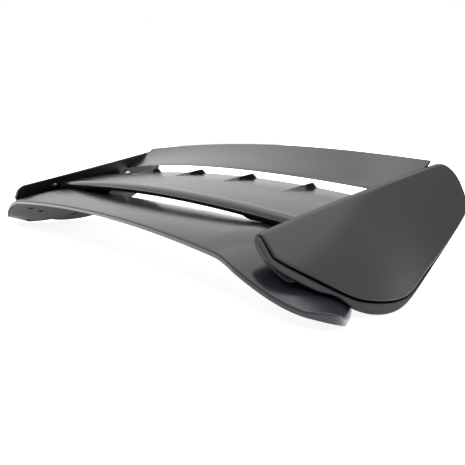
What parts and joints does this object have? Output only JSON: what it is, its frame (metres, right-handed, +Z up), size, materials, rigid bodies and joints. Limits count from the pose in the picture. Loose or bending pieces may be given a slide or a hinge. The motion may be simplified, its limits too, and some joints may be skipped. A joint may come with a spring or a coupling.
{
  "type": "tailgate spoiler",
  "caption": "Hatchback tailgate spoiler: low deck with drooping tips, finned mid vane and upper blade between canted end plates.",
  "frame": {"origin": "middle of the bounding box in X and Y, on the surface that the spoiler stands on", "axes": "+X from the car's left to its right along the blade, +Y rearward (the way the air leaves), +Z up; the spoiler is mirror-symmetric about X = 0"},
  "size_m": [1.234, 0.4055, 0.215],
  "materials": {
    "satin_black_plastic": "satin black, smooth moulded, slightly cool",
    "black_plastic_inner": "darker, fine grained, unpainted",
    "brass": "turned, plain",
    "zinc_steel": "zinc plated, plain"
  },
  "bodies": {
    "root": {"deck": "satin_black_plastic", "deck_panel": "black_plastic_inner", "mid_vane": "satin_black_plastic", "upper_blade": "satin_black_plastic", "left_plate_skin": "satin_black_plastic", "right_plate_skin": "satin_black_plastic", "left_plate_core": "black_plastic_inner", "right_plate_core": "black_plastic_inner", "threaded_inserts": "brass", "vane_screws": "zinc_steel", "blade_screws": "zinc_steel", "plate_screws": "zinc_steel", "deck_screws": "zinc_steel"}
  },
  "joints": []
}
